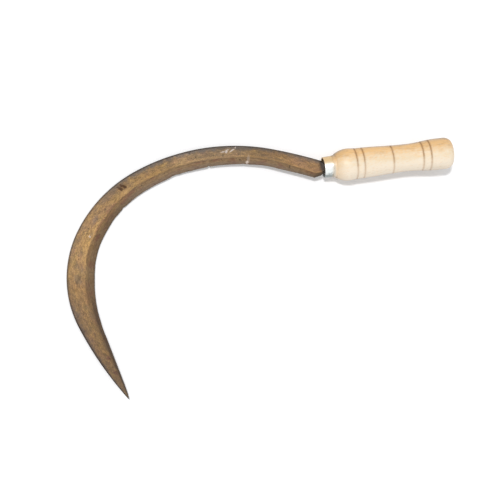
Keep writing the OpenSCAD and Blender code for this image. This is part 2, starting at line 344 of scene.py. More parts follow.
def blade_section(blade, width, thick, bevel, edge):
    """Eight corners of each section, as shares of the width and heights, from the back of the spine round.

    The chamfer and the eased corners never take more than a quarter of a width or a third of a thickness.
    """
    chamfer = np.minimum(blade.chamfer_width, width / 4)
    depth = np.minimum(blade.chamfer_depth, thick / 3)
    ease = np.minimum(np.minimum(blade.ease, width / 8), thick / 4)
    fall = blade.face_fall * np.minimum(1, width / blade.heel_width)
    none = np.zeros_like(width)
    across = [none, none, chamfer / width, 1 - bevel, none + 1, none + 1, 1 - ease / width, ease / width]
    height = [ease, thick - depth, thick, thick - fall, edge, none, none, none]
    return np.stack(across, 1), np.stack(height, 1) - blade.heel_thick / 2


def bar_section(blade, width, thick):
    """Eight corners of a flat bar with eased corners, centred on the blade's middle plane."""
    ease = blade.ease
    across = np.array([0, 0, ease / width, 1 - ease / width, 1, 1, 1 - ease / width, ease / width])
    half = thick / 2
    height = np.array([ease - half, half - ease, half, half, half - ease, ease - half, -half, -half])
    return across[None], height[None]


def handle_ends(handle, ferrule):
    """Distances from the ferrule's mouth to the handle's front face and to the end of its butt."""
    front = ferrule.length + handle.collar
    return front, front + handle.length


def lay_down(blade, handle, ferrule):
    """Turn and shift that lay the tool on its belly and the handle's bulge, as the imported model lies."""
    back = -blade.heel_thick / 2
    runs, _, _, radii = arc_chain(blade)
    point, heading = spine(blade, np.array([runs[BELLY] + radii[BELLY] * blade.rest_turn]))
    inward = np.array([-sin(heading[0]), cos(heading[0])])
    front, end = handle_ends(handle, ferrule)
    bulge = np.array([front + handle.bulge_at, 0.0])
    slope = (handle.bulge / 2 + back) / ((bulge - point[0]) @ inward)
    lean = atan(slope * inward[1])
    tilt = -atan(slope * inward[0] * cos(lean))
    turn = np.array(Matrix.Rotation(tilt, 3, "Y") @ Matrix.Rotation(lean, 3, "X"))
    butt = np.array([end, 0.0, 0.0])
    return turn, np.array(mounts["butt_face"]["pos_m"]) - turn @ butt


# Meshes


def outward(points, faces):
    """The faces, turned round if they enclose a negative volume, so that all of them point outwards."""
    fan = [(face[0], face[i], face[i + 1]) for face in faces for i in range(1, len(face) - 1)]
    first, second, third = points[np.array(fan)].transpose(1, 0, 2)
    volume = np.einsum("ij,ij->", first, np.cross(second, third))
    return faces if volume > 0 else [face[::-1] for face in faces]


def new_piece(name, place, rings, joined, values, material):
    """A mesh object from rings of points, each joined to the next, that moves with the tool's body.

    The turn and the shift in place take the rings from the handle's axes to the ground. Where it is joined,
    the last ring meets the first, as on a ring-shaped piece. Otherwise a face closes each end.
    """
    if not np.isfinite(rings).all():
        raise RuntimeError(f"{name} has sizes that don't make a surface")
    turn, shift = place
    count, size, _ = rings.shape
    low = np.arange(count if joined else count - 1)[:, None] * size
    high = (low + size) % (count * size)
    here = np.arange(size)[None]
    after = (here + 1) % size
    faces = np.stack([low + here, low + after, high + after, high + here], 2).reshape(-1, 4).tolist()
    if not joined:
        faces += [list(range(size))[::-1], list(range((count - 1) * size, count * size))]
    points = (rings @ turn.T + shift).reshape(-1, 3)
    mesh = bpy.data.meshes.new(name)
    mesh.from_pydata(points.tolist(), [], outward(points, faces))
    for key, data in values.items():
        kind, field = ("FLOAT_VECTOR", "vector") if data.ndim == 3 else ("FLOAT", "value")
        mesh.attributes.new(key, kind, "POINT").data.foreach_set(field, data.astype(np.float32).ravel())
    mesh.shade_smooth()
    mesh.materials.append(material)
    piece = bpy.data.objects.new(name, mesh)
    bpy.context.scene.collection.objects.link(piece)
    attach(piece, BODY)
    return piece


# The blade

# Distance between the sections
RING_STEP = 0.0007
# How far each corner is eased, and how far the ridge is, which is worn softer between two runs
EASED = 0.00025
RIDGE_EASED, RIDGE_WORN = 0.0009, 0.0020
WORN_FROM, WORN_TO = 0.29, 0.35
# Most of the way to the next corner that easing takes, and a length that stands for none
MOST_EASED, TINY = 0.4, 1e-9
# Corners at which the ridge and the cutting edge lie, and points between each corner and the next
RIDGE, EDGE = 3, 4
BETWEEN = (1, 3, 30, 20, 1, 1, 14, 1)
# Rings from the tang's end to its root, on to the neck, and on to the heel
LEAD_RINGS = (24, 8, 8)
# Notches in the cutting edge: run along the spine, depth and half length
NOTCHES = (
    (0.0580, 0.0008, 0.0140),
    (0.0840, 0.0004, 0.0040),
    (0.1232, 0.0011, 0.0012),
    (0.1520, 0.0005, 0.0060),
    (0.1640, 0.0010, 0.0060),
    (0.2362, 0.0007, 0.0022),
    (0.2560, 0.0003, 0.0060),
    (0.4040, 0.0004, 0.0080),
)
# Long flats and nicks of the edge: share of its wear and wave length, and the noise that starts a nick
FLAT_SHARE, FLAT_WAVE = 0.9, 0.027
NICK_SHARE, NICK_WAVE, NICK_START = 0.5, 0.0026, 0.25
# Lengths over which the edge's wear starts at the neck and ends at the point
WEAR_RISE, WEAR_FALL = 0.012, 0.03
# Share of the bevel's own slope by which a worn edge is thicker, and least ratio of width to wear
WORN_SLOPE, LEAST_RATIO = 0.8, 6
# How the ridge wanders, as shares of the width: height, wave length and seed of each wave
RIDGE_WAVES = ((0.022, 0.024, 21), (0.008, 0.006, 22))
# How far the spine is shaved back, and the wave length of that
SHAVE, SHAVE_WAVE = 0.00012, 0.031
# Lengths over which relief starts at the neck, and relief and shaving end at the point
NECK_FADE, POINT_FADE = 0.008, 0.02
# Marks round a section between which the face and the bevel take relief, and over which it grows
BITE_FROM, BITE_FADE = 1.4, 0.5
# Marks round a section between which the underside takes it
UNDER_FROM, UNDER_TO = 6.1, 6.9
# Relief: height, wave lengths along and across, distance across for one wave of slant, and seed
HAMMER = ((1.0, 0.017, 0.010, inf, 31), (0.45, 0.006, 0.005, inf, 32))
STONE = ((0.35, 0.0035, 0.012, 0.02, 33), (0.3, 0.02, 0.02, inf, 34))
UNDER_DEPTH, UNDER_WAVES = 0.00005, ((1.0, 0.02, 0.012, inf, 35),)


def fill_ring(corners, ease):
    """Points all round each section: every corner becomes three points of a curve, with even steps between.

    Beside the points stand their marks, which count the corners passed, with fractions between them.
    """
    before, after = np.roll(corners, 1, 1), np.roll(corners, -1, 1)

    def near(other):
        way = other - corners
        size = np.linalg.norm(way, axis=2, keepdims=True)
        return corners + way * np.minimum(ease / np.maximum(size, TINY), MOST_EASED)

    start, end = near(before), near(after)
    middle = corners / 2 + (start + end) / 4
    columns, marks = [], []
    for j, count in enumerate(BETWEEN):
        columns += [start[:, j], middle[:, j], end[:, j]]
        marks += [j, j, j]
        follow = start[:, (j + 1) % len(BETWEEN)]
        for i in range(1, count + 1):
            part = i / (count + 1)
            columns.append(end[:, j] * (1 - part) + follow * part)
            marks.append(j + part)
    return np.stack(columns, 1), np.array(marks)


def edge_wear(blade, run, end):
    """How far the cutting edge is worn back: hand-ground flats, small nicks and a few larger notches."""
    flats = lift(run / FLAT_WAVE, run * 0, seed=11) * FLAT_SHARE
    nicks = np.clip(noise(run / NICK_WAVE, run * 0, seed=12) - NICK_START, 0, 1) * NICK_SHARE
    notches = sum(depth * np.exp(-(((run - at) / half) ** 2)) for at, depth, half in NOTCHES)
    return (blade.nick * (flats + nicks) + notches) * faded(run, end, WEAR_RISE, WEAR_FALL)


def corners_between(outer, inner, section):
    """Corners of sections from their outer to their inner points, by shares of the way and by heights."""
    across, height = section
    flat = outer[:, None] + (inner - outer)[:, None] * across[:, :, None]
    return np.concatenate([flat, height[:, :, None]], 2)


def blade_body(blade, run, end):
    """Corners, widths and shares of bevel of sections set square to the spine.

    Each spans from the spine, shaved a little, to the spine plus its width, worn back at the edge. The
    bevel's share of the width grows over the heel, narrows towards the point and wanders by two waves.
    """
    spine_points, heading = spine(blade, run)
    inward = np.stack([-np.sin(heading), np.cos(heading)], 1)
    width = blade_width(blade, run)
    thick = blade.heel_thick + (blade.point_thick - blade.heel_thick) * run / end
    past = np.clip((run - blade.bevel_narrows) / (end - blade.bevel_narrows), 0, 1)
    bevel = blade.bevel + (blade.point_bevel - blade.bevel) * past
    bevel = bevel + (blade.heel_bevel - blade.bevel) * (1 - blend(run, 0, blade.bevel_full))
    for height, wave, seed in RIDGE_WAVES:
        bevel = bevel + height * noise(run / wave, run * 0, seed)
    worn = np.minimum(edge_wear(blade, run, end), width / LEAST_RATIO)
    edge = blade.edge_thick + worn * (thick - blade.edge_thick) / (bevel * width) * WORN_SLOPE
    shave = SHAVE * lift(run / SHAVE_WAVE, run * 0, seed=23) * np.clip((end - run) / POINT_FADE, 0, 1)
    outer = spine_points + inward * shave[:, None]
    inner = spine_points + inward * (width - worn)[:, None]
    section = blade_section(blade, width, thick, bevel, edge)
    return corners_between(outer, inner, section), width, bevel


def blade_lead(blade, heel):
    """Corners and runs of the sections before the heel, in even steps over the tang and the neck."""
    neck_outer = np.array([-blade.neck[0], blade.neck[1]])
    neck_inner = np.array([-blade.neck[0] - blade.neck_slant, -blade.neck[2]])
    sizes = (np.linalg.norm(neck_outer - neck_inner), blade.heel_thick, blade.heel_bevel, blade.neck_edge)
    neck = blade_section(blade, *(np.array([size]) for size in sizes))
    root_x, root_width, root_thick = blade.tang_root
    tip_x, tip_width = blade.tang_end

    def bar(x, width, thick):
        ends = np.array([[x, width / 2]]), np.array([[x, -width / 2]])
        return corners_between(*ends, bar_section(blade, width, thick))

    stops = [
        bar(tip_x, tip_width, tip_width),
        bar(root_x, root_width, root_thick),
        corners_between(neck_outer[None], neck_inner[None], neck),
        heel,
    ]
    runs = [-tip_x - blade.neck[0], -root_x - blade.neck[0], 0.0, blade.heel_setback]
    lead, lead_run = [], []
    for first, second, from_run, to_run, steps in zip(stops, stops[1:], runs, runs[1:], LEAD_RINGS):
        part = np.linspace(0, 1, steps, endpoint=False)[:, None, None]
        lead.append(first * (1 - part) + second * part)
        lead_run.append(from_run + (to_run - from_run) * part.ravel())
    return np.concatenate(lead), np.concatenate(lead_run)


def relief(along, distance, waves):
    """The sum of a table's noises, each times its height, over its wave lengths along and across."""
    return sum(
        height * lift(along / wave + distance / slant, distance / span, seed)
        for height, wave, span, slant, seed in waves
    )


def make_blade(blade, place, material):
    """The blade: sections of eight corners set square to the spine, with the neck and the tang before them.

    Hammer marks sink the face, whetting sinks the bevel and scale roughens the back, so that the surface
    is a function of the run along the spine and the place round the section.
    """
    end = arc_chain(blade)[0][-1]
    run = np.linspace(blade.heel_setback, end, int(end / RING_STEP))
    body, width, bevel = blade_body(blade, run, end)
    lead, lead_run = blade_lead(blade, body[:1])
    run = np.concatenate([lead_run, run])
    ease = np.full((len(run), len(BETWEEN), 1), EASED)
    ease[:, RIDGE, 0] = RIDGE_EASED + RIDGE_WORN * blend(run, WORN_FROM, WORN_TO)
    rings, mark = fill_ring(np.concatenate([lead, body]), ease)
    wide = np.concatenate([np.full(len(lead), blade.heel_width), width])
    ridge = np.concatenate([np.full(len(lead), 1 - blade.heel_bevel), 1 - bevel])

    spine_side, edge_side = rings[:, :1], rings[:, np.argmax(mark >= EDGE)][:, None]
    span = np.linalg.norm(edge_side[:, :, :2] - spine_side[:, :, :2], axis=2)
    part = np.linalg.norm(rings[:, :, :2] - spine_side[:, :, :2], axis=2) / span
    distance = part * wide[:, None]
    along = np.repeat(run[:, None], len(mark), 1)
    ground = (part - ridge[:, None]) / (1 - ridge[:, None])

    fade = faded(run, end, NECK_FADE, POINT_FADE)[:, None]
    bite = np.clip(np.minimum(mark - BITE_FROM, EDGE - mark) / BITE_FADE, 0, 1)[None]
    dents = np.where(ground < 0, relief(along, distance, HAMMER), relief(along, distance, STONE))
    front = (mark >= 1) & (mark < EDGE)
    rings[:, :, 2] -= np.where(front[None], dents * blade.dent * bite * fade, 0)
    under = (mark > UNDER_FROM) & (mark < UNDER_TO)
    rings[:, :, 2] += np.where(under[None], UNDER_DEPTH * relief(along, distance, UNDER_WAVES) * fade, 0)

    values = {
        "along": along,
        "across": distance,
        "part": part,
        "ground": ground,
        "back": np.repeat(((mark >= EDGE + 1) * 1.0)[None], len(run), 0),
    }
    return new_piece("forged_blade", place, rings, False, values, material)


# The ferrule and the handle

# Points round a turned piece, and their angles
ROUND_STEPS = 160
ROUND = np.linspace(0, 2 * pi, ROUND_STEPS, endpoint=False)[None]
# Points along each stretch of the turned profiles
CORNER_POINTS, OUTSIDE_POINTS, BORE_POINTS = 7, 32, 16
COLLAR_POINTS, GROOVE_POINTS, ROUNDING_POINTS, FACE_POINTS = 18, 25, 40, 12
# Dents and sanding marks: depth, wave length along the axis, change round it and seed
FERRULE_DENT = (0.006, 0.009, 1.3, 41)
SANDING = ((0.00008, 0.006, 1.1, 51), (0.00012, 0.03, 0.8, 52))
# Steps of the grip's profile, the least step that is kept, and the wear of the butt's face
GRIP_STEP, LEAST_STEP, BUTT_WEAR = 0.0008, 0.00003, 0.00006
# Shares of the butt's radius between which its flat face is filled
FACE_SHARES = 0.95, 0.01
# A groove's rounding, and the half width of the scorch round it as a share of its own width
DIP_POWER, SCORCH = 1.5, 0.8


def revolve(profile_x, radius):
    """Rings of points round the handle's axis: each radius of a profile, turned through a full circle."""
    x = np.repeat(profile_x[:, None], ROUND_STEPS, 1)
    radius = np.broadcast_to(radius.reshape(len(profile_x), -1), x.shape)
    return np.stack([x, radius * np.cos(ROUND), radius * np.sin(ROUND)], 2)


def round_lift(x, wave, reach, seed):
    """Noise from 0 to 1 on a turned surface: wave is its length along it, and reach its change round it."""
    along = x[:, None] / wave
    return lift(along + reach * np.cos(ROUND), reach * np.sin(ROUND) + along / 3, seed)


def cone_radius(ferrule, x):
    """Outer radius of the ferrule, which grows evenly from the mouth to the seat."""
    return (ferrule.mouth + (ferrule.seat - ferrule.mouth) * x / ferrule.length) / 2


def make_ferrule(ferrule, place, material):
    """The ferrule: a conical ring, whose profile runs along it, back through the bore and round the lip.

    The lip and the seat's corner are quarter circles, and slight dents keep it from being perfectly round.
    """
    end, wall, lip = ferrule.length, ferrule.wall, ferrule.lip
    quarter = np.linspace(0, pi / 2, CORNER_POINTS)
    small = lip / 2
    outside = np.linspace(lip, end - small, OUTSIDE_POINTS)
    bore = np.linspace(end, small, BORE_POINTS)
    parts = [
        (outside, cone_radius(ferrule, outside)),
        (end - small * (1 - np.sin(quarter)), cone_radius(ferrule, end) - small * (1 - np.cos(quarter))),
        (bore, cone_radius(ferrule, bore) - wall),
        (small * (1 - np.sin(quarter)), cone_radius(ferrule, 0) - wall + small * (1 - np.cos(quarter))),
        (lip * (1 - np.cos(quarter)), cone_radius(ferrule, 0) - lip * (1 - np.sin(quarter))),
    ]
    x, radius = (np.concatenate(column) for column in zip(*parts))
    rings = revolve(x, radius)
    values = {"place": rings.copy()}
    depth, *wave = FERRULE_DENT
    rings[:, :, 1:] *= 1 - depth * round_lift(x, *wave)[:, :, None]
    return new_piece("zinc_ferrule", place, rings, True, values, material)


def collar_radius(handle, ferrule, x):
    """Radius of the collar, which grows evenly from its step on the ferrule to the front face."""
    flare = handle.collar_flare * (x - ferrule.length) / handle.collar
    return ferrule.seat / 2 + handle.collar_step + flare


def wood_radius(handle, ferrule, x):
    """Radius of the wood behind the front face: a dome, three cosine blends and an elliptical butt."""
    front, end = handle_ends(handle, ferrule)
    rise = handle.bulge / 2 - collar_radius(handle, ferrule, front) - handle.front_step
    dome = (handle.bulge_at**2 + rise**2) / (2 * rise)
    to_bulge = np.clip(front + handle.bulge_at - x, 0, handle.bulge_at)
    late = np.clip((x - end + handle.round_length) / handle.round_length, 0, 1)
    return (
        handle.bulge / 2
        - (dome - np.sqrt(dome**2 - to_bulge**2))
        + (handle.body - handle.bulge) / 2 * blend(x, front + handle.bulge_at, front + handle.body_at)
        + (handle.waist - handle.body) / 2 * blend(x, front + handle.body_at, front + handle.waist_at)
        + (handle.swell - handle.waist) / 2 * blend(x, front + handle.waist_at, end - handle.swell_back)
        - handle.round_depth * (1 - np.sqrt(1 - late**2))
    )


def make_handle(handle, ferrule, place, material):
    """The handle: tenon, collar, grip and butt turned round the axis, with rounded grooves burnt into it.

    The radius is that of the wood, less each groove's depth times a rounded dip, less a slight wave from
    sanding. The collar runs on to the edge of the front face, which is worn back.
    """
    front, end = handle_ends(handle, ferrule)
    seat, edge = ferrule.length, front + handle.front_wear
    grooves = [front + at for at in handle.grooves]
    wide = handle.groove_width
    near = [np.linspace(at - wide, at + wide, GROOVE_POINTS) for at in grooves]
    late = handle.round_length * np.sin(np.linspace(0, pi / 2, ROUNDING_POINTS))
    x = np.sort(np.concatenate([np.arange(edge, end - handle.round_length, GRIP_STEP)] + near))
    x = np.concatenate([x[:-1][np.diff(x) > LEAST_STEP], end - handle.round_length + late])
    dip = sum(np.clip(1 - ((x - at) / (wide / 2)) ** 2, 0, 1) ** DIP_POWER for at in grooves)
    scorch = sum(np.exp(-(((x - at) / (wide * SCORCH)) ** 2)) for at in grooves)
    sanding = sum(depth * round_lift(x, *wave) for depth, *wave in SANDING)
    grip = wood_radius(handle, ferrule, x)[:, None] - handle.groove_depth * dip[:, None] - sanding

    tenon_x = np.array([handle.tenon_recess, handle.tenon_recess + EASED, seat - EASED, seat])
    tenon = cone_radius(ferrule, tenon_x) - ferrule.wall - handle.tenon_clearance
    collar_x = np.linspace(seat, edge, COLLAR_POINTS)
    collar = collar_radius(handle, ferrule, collar_x)
    collar[0] -= EASED / 2
    tenon_x = np.concatenate([tenon_x, collar_x, [edge]])
    tenon = np.concatenate([tenon, collar, [grip[0].min() - EASED]])
    face = np.linspace(*FACE_SHARES, FACE_POINTS)[:, None] * grip[-1]
    centre = np.full(ROUND_STEPS, LEAST_STEP)
    radius = np.concatenate([[centre], np.repeat(tenon[:, None], ROUND_STEPS, 1), grip, face])
    x = np.concatenate([tenon_x[:1], tenon_x, x, np.full(len(face), end)])
    rings = revolve(np.minimum(x, end - BUTT_WEAR), radius)
    burn = np.concatenate([np.zeros(len(tenon) + 1), scorch, np.zeros(len(face))])
    # Burnt and painted shade on the tenon inside the ferrule's mouth
    char_and_shade = (x < seat - 2 * EASED) * 1.0
    values = {
        "place": rings.copy(),
        "burn": np.repeat(burn[:, None], ROUND_STEPS, 1),
        "char_and_shade": np.repeat(char_and_shade[:, None], ROUND_STEPS, 1),
    }
    return new_piece("turned_handle", place, rings, False, values, material)


# Shader nodes


class Wiring:
    """Short calls that add nodes to one tree. A value that is a socket is linked, any other is set."""

    def __init__(self, tree):
        self.tree = tree

    def feed(self, socket, value):
        """Links a socket, or sets it, giving a colour of three parts its alpha."""
        if isinstance(value, bpy.types.NodeSocket):
            self.tree.links.new(value, socket)
        elif socket.type == "RGBA":
            socket.default_value = (*tuple(value)[:3], 1.0)
        else:
            socket.default_value = value

    def add(self, kind, inputs=None, **settings):
        """A new node with its settings and inputs."""
        node = self.tree.nodes.new(kind)
        for key, value in settings.items():
            setattr(node, key, value)
        for key, value in (inputs or {}).items():
            self.feed(node.inputs[key], value)
        return node

    def maths(self, operation, first, second=0.0, clamp=False):
        """The result of a sum on two values."""
        inputs = {0: first, 1: second}
        return self.add("ShaderNodeMath", inputs, operation=operation, use_clamp=clamp).outputs[0]

    def gather(self, operation, values):
        """Several values made into one, two at a time."""
        return reduce(lambda first, second: self.maths(operation, first, second), values)

    def total(self, *values):
        """The sum of several values."""
        return self.gather("ADD", values)

    def times(self, *values):
        """The product of several values."""
        return self.gather("MULTIPLY", values)

    def highest(self, *values):
        """The highest of several values."""
        return self.gather("MAXIMUM", values)

    def vector(self, operation, first, second):
        """The vector that comes of a sum on two vectors."""
        return self.add("ShaderNodeVectorMath", {0: first, 1: second}, operation=operation).outputs[0]

    def size(self, vector):
        """The length of a vector."""
        return self.add("ShaderNodeVectorMath", {0: vector}, operation="LENGTH").outputs["Value"]

    def joined(self, x, y, z):
        """A vector from its parts."""
        return self.add("ShaderNodeCombineXYZ", {0: x, 1: y, 2: z}).outputs[0]

    def parts(self, vector):
        """The three parts of a vector."""
        return self.add("ShaderNodeSeparateXYZ", {0: vector}).outputs

    def soften(self, value, low, high, start=0.0, stop=1.0):
        """A smooth step between two places, from start to stop."""
        inputs = {"Value": value, "From Min": low, "From Max": high, "To Min": start, "To Max": stop}
        return self.add("ShaderNodeMapRange", inputs, interpolation_type="SMOOTHSTEP").outputs["Result"]

    def fade(self, value, low, high, start=1.0):
        """A smooth step between two places, from start down to zero."""
        return self.soften(value, low, high, start, 0.0)

    def grade(self, value, start, stop):
        """A smooth step from start to stop, as a value goes from 0 to 1."""
        return self.soften(value, 0.0, 1.0, start, stop)

    def mix(self, factor, first, second, blend_type="MIX"):
        """A colour between two colours."""
        node = self.tree.nodes.new("ShaderNodeMix")
        node.data_type, node.blend_type = "RGBA", blend_type
        for index, value in ((0, factor), (6, first), (7, second)):
            self.feed(node.inputs[index], value)
        return node.outputs[2]

    def coats(self, base, *coats):
        """A colour under coats of other colours, each laid on by the product of the values behind it."""
        for colour, *values in coats:
            base = self.mix(self.times(*values), base, colour)
        return base

    def brighten(self, base, *values):
        """A colour made lighter or darker by values round one."""
        scaled = self.times(*values)
        tone = self.add("ShaderNodeCombineColor", {0: scaled, 1: scaled, 2: scaled}).outputs[0]
        return self.mix(1.0, base, tone, "MULTIPLY")

    def bump(self, shader, height, strength, distance):
        """Gives a shader a fine relief."""
        node = self.add("ShaderNodeBump", {"Height": height, "Strength": strength, "Distance": distance})
        self.feed(shader.inputs["Normal"], node.outputs["Normal"])

    def attribute(self, name, output="Fac"):
        """A value that the mesh holds at its points."""
        return self.add("ShaderNodeAttribute", attribute_name=name).outputs[output]

    def effect(self, name, **inputs):
        """The output of a shared effect, whose inputs are named by words joined with underscores."""
        tree = bpy.data.node_groups.get(name) or EFFECTS[name](name)
        node = self.add("ShaderNodeGroup", node_tree=tree)
        for key, value in inputs.items():
            self.feed(node.inputs[key.replace("_", " ").title()], value)
        return node.outputs[0]

    def mottle(self, point, scale, detail, contrast, shift=0.0):
        """Clouds from 0 to 1, taken from another place of the pattern by a shift."""
        if shift:
            point = self.vector("ADD", point, (shift, shift / 3, 0.0))
        return self.effect("Mottle", point=point, scale=scale, detail=detail, contrast=contrast)

    def band(self, value, centre, half_width, softness):
        """A soft band round one value of a coordinate."""
        return self.effect("Band", value=value, centre=centre, half_width=half_width, softness=softness)

    def specks(self, point, scale, size):
        """Small separate specks."""
        return self.effect("Specks", point=point, scale=scale, size=size)


def new_group(name, output, vectors, floats):
    """An empty shader group with named inputs, its one output socket, its input sockets and its wiring."""
    tree = bpy.data.node_groups.new(name, "ShaderNodeTree")
    for keys, kind in ((vectors, "NodeSocketVector"), (floats, "NodeSocketFloat")):
        for key in keys:
            tree.interface.new_socket(name=key, in_out="INPUT", socket_type=kind)
    tree.interface.new_socket(name=output, in_out="OUTPUT", socket_type="NodeSocketFloat")
    start, finish = tree.nodes.new("NodeGroupInput"), tree.nodes.new("NodeGroupOutput")
    return tree, finish.inputs[0], start.outputs, Wiring(tree)


def mottle_group(name):
    """Cloudy variation from 0 to 1, with its contrast set round the middle."""
    tree, out, given, w = new_group(name, "Value", ["Point"], ["Scale", "Detail", "Contrast"])
    cloud = w.add(
        "ShaderNodeTexNoise",
        {"Vector": given["Point"], "Scale": given["Scale"], "Detail": given["Detail"], "Roughness": 0.6},
    )
    centred = w.maths("SUBTRACT", cloud.outputs["Fac"], 0.5)
    w.feed(out, w.maths("ADD", w.times(centred, given["Contrast"]), 0.5, clamp=True))
    return tree


def blot_group(name):
    """A ragged oval mark of a given half size at a given place, which a slant makes a slanting stroke."""
    tree, out, given, w = new_group(
        name, "Mask", ["Point", "Centre", "Half Size"], ["Slant", "Raggedness", "Grain"]
    )
    x, y, z = w.parts(w.vector("SUBTRACT", given["Point"], given["Centre"]))
    sheared = w.joined(x, w.maths("SUBTRACT", y, w.times(x, given["Slant"])), z)
    reach = w.size(w.vector("DIVIDE", sheared, given["Half Size"]))
    rough = w.add("ShaderNodeTexNoise", {"Vector": given["Point"], "Scale": given["Grain"], "Detail": 3.0})
    ragged = w.times(w.maths("SUBTRACT", rough.outputs["Fac"], 0.5), given["Raggedness"])
    w.feed(out, w.fade(w.total(reach, ragged), 0.75, 1.2))
    return tree


def band_group(name):
    """A soft band round one value of a coordinate."""
    tree, out, given, w = new_group(name, "Mask", [], ["Value", "Centre", "Half Width", "Softness"])
    away = w.maths("ABSOLUTE", w.maths("SUBTRACT", given["Value"], given["Centre"]))
    far = w.maths("ADD", given["Half Width"], given["Softness"])
    w.feed(out, w.fade(away, given["Half Width"], far))
    return tree


def speck_group(name):
    """Small separate specks, one in each cell of a pattern, of uneven size."""
    tree, out, given, w = new_group(name, "Mask", ["Point"], ["Scale", "Size"])
    cells = w.add("ShaderNodeTexVoronoi", {"Vector": given["Point"], "Scale": given["Scale"]})
    chance = w.add("ShaderNodeSeparateColor", {0: cells.outputs["Color"]}).outputs[0]
    uneven = w.times(chance, given["Size"])
    w.feed(out, w.fade(cells.outputs["Distance"], w.times(uneven, 0.5), uneven))
    return tree


EFFECTS = {"Mottle": mottle_group, "Blot": blot_group, "Band": band_group, "Specks": speck_group}


def new_material(name):
    """A material with a Principled shader, and its wiring."""
    material = bpy.data.materials.new(name)
    material.use_nodes = True
    return material, Wiring(material.node_tree), material.node_tree.nodes["Principled BSDF"]


# Steel

# How ragged the marks are, how fine their grain is, and how deep they reach
MARK_RAGGEDNESS, MARK_GRAIN, MARK_DEPTH = 2.2, 900.0, 0.02
# Marks on the blade: run along the spine, distance across, half length and width, slant, colour, strength
MARKS = (
    (0.1058, 0.0062, 0.0026, 0.0008, 0.15, "scratch", 0.60),
    (0.1024, 0.0060, 0.0014, 0.0017, 0.00, "scratch", 0.85),
    (0.1006, 0.0044, 0.0012, 0.0008, 0.30, "scratch", 0.60),
    (0.0962, 0.0051, 0.0026, 0.0008, 0.58, "scratch", 0.80),
    (0.0923, 0.0020, 0.0007, 0.0011, 0.00, "scratch", 0.60),
    (0.0778, 0.0136, 0.0016, 0.0046, 0.00, "scratch", 0.16),
    (0.0790, 0.0176, 0.0015, 0.0018, 0.00, "scratch", 0.40),
    (0.0860, 0.0030, 0.0060, 0.0030, 0.10, "grey", 0.60),
    (0.1070, 0.0020, 0.0060, 0.0018, 0.00, "grey", 0.70),
    (0.2215, 0.0126, 0.0070, 0.0030, 0.00, "gold", 0.55),
    (0.2222, 0.0064, 0.0046, 0.0042, -0.20, "umber", 0.34),
    (0.2256, 0.0040, 0.0014, 0.0013, 0.00, "umber", 0.90),
    (0.2250, 0.0059, 0.0015, 0.0016, 0.00, "umber", 0.95),
    (0.2240, 0.0075, 0.0015, 0.0020, 0.00, "umber", 0.95),
    (0.2221, 0.0035, 0.0012, 0.0012, 0.00, "umber", 0.80),
    (0.2216, 0.0052, 0.0013, 0.0016, 0.00, "umber", 0.95),
    (0.2202, 0.0064, 0.0013, 0.0015, 0.00, "umber", 0.95),
    (0.2194, 0.0080, 0.0018, 0.0019, 0.00, "umber", 0.98),
    (0.2380, 0.0040, 0.0130, 0.0040, 0.05, "grey", 0.45),
    (0.0313, 0.0144, 0.0008, 0.0017, 0.00, "dark_scale_and_shade", 0.70),
    (0.0873, 0.0150, 0.0010, 0.0009, 0.00, "dark_scale_and_shade", 0.75),
    (0.1062, 0.0100, 0.0010, 0.0014, 0.00, "dark_scale_and_shade", 0.45),
    (0.2520, 0.0116, 0.0014, 0.0010, 0.00, "dark_scale_and_shade", 0.55),
    (0.2857, 0.0100, 0.0008, 0.0013, 0.00, "dark_scale_and_shade", 0.65),
    (0.2876, 0.0138, 0.0012, 0.0010, 0.00, "scratch", 0.36),
    (0.2680, 0.0093, 0.0050, 0.0022, 0.20, "grey", 0.55),
    (0.3392, 0.0112, 0.0055, 0.0040, 0.20, "grey", 0.45),
    (0.3370, 0.0130, 0.0032, 0.0016, 0.30, "brown", 0.65),
    (0.3425, 0.0098, 0.0018, 0.0012, 0.00, "dark_scale_and_shade", 0.35),
    (0.2620, 0.0075, 0.0180, 0.0050, 0.00, "rust", 0.16),
    (0.2480, 0.0150, 0.0100, 0.0014, 0.04, "rust", 0.55),
    (0.2700, 0.0168, 0.0110, 0.0013, 0.03, "rust", 0.50),
    (0.4335, 0.0100, 0.0024, 0.0022, 0.20, "rust", 0.75),
    (0.4505, 0.0072, 0.0030, 0.0020, 0.20, "rust", 0.75),
    (0.4353, 0.0108, 0.0016, 0.0011, 0.30, "umber", 0.50),
    (0.4384, 0.0074, 0.0018, 0.0012, 0.00, "rust", 0.45),
    (0.4501, 0.0078, 0.0016, 0.0011, 0.00, "umber", 0.50),
    (0.2843, 0.0214, 0.0060, 0.0018, 0.10, "rust", 0.55),
    (0.2177, 0.0163, 0.0060, 0.0018, 0.00, "rust", 0.55),
)


# Stretches of the blade: distance of the middle along the spine, half length, and softness of the ends
STRETCHES = {
    "dark_crown": (0.085, 0.035, 0.030),
    "whetted": (0.110, 0.070, 0.030),
    "scuffed": (0.120, 0.030, 0.020),
    "dark_shoulder": (0.145, 0.010, 0.030),
    "scaled": (0.160, 0.080, 0.030),
    "golden": (0.275, 0.035, 0.030),
    "bright": (0.288, 0.016, 0.050),
    "belly": (0.300, 0.040, 0.060),
    "wide_bevel": (0.300, 0.010, 0.015),
    "narrow_bevel": (0.342, 0.012, 0.015),
    "rusty": (0.400, 0.040, 0.030),
    "dark_spine": (0.412, 0.022, 0.020),
}
